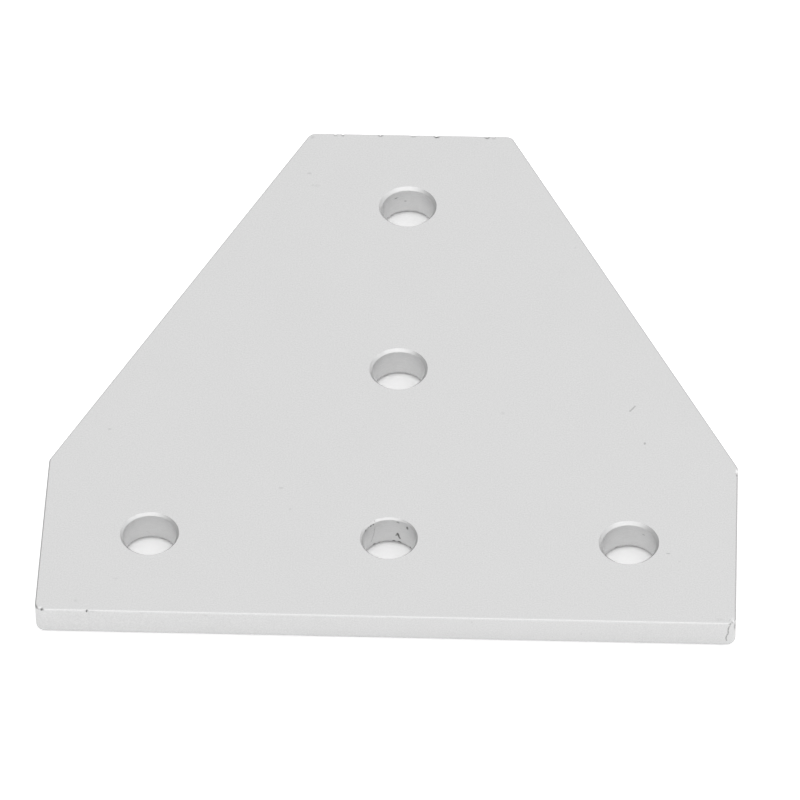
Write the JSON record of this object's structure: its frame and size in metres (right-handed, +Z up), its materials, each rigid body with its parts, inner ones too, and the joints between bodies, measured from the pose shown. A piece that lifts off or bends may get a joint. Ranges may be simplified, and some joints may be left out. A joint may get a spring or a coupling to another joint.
{
  "type": "extrusion joining plate",
  "caption": "Flat tee-shaped joining plate with slanted flanks and chamfered bolt holes, for bolting slotted aluminium framing profiles together in one plane.",
  "frame": {"origin": "middle of the outline on the underside, which is the axis of the hole in the middle of the stem", "axes": "+Z up through the plate towards the chamfered face, +X along the crossbar, +Y up the stem"},
  "size_m": [0.116, 0.116, 0.0055],
  "materials": {
    "plate": "tumbled and clear anodised, matt light grey"
  },
  "bodies": {
    "root": {"joining_plate": "plate"}
  },
  "joints": []
}
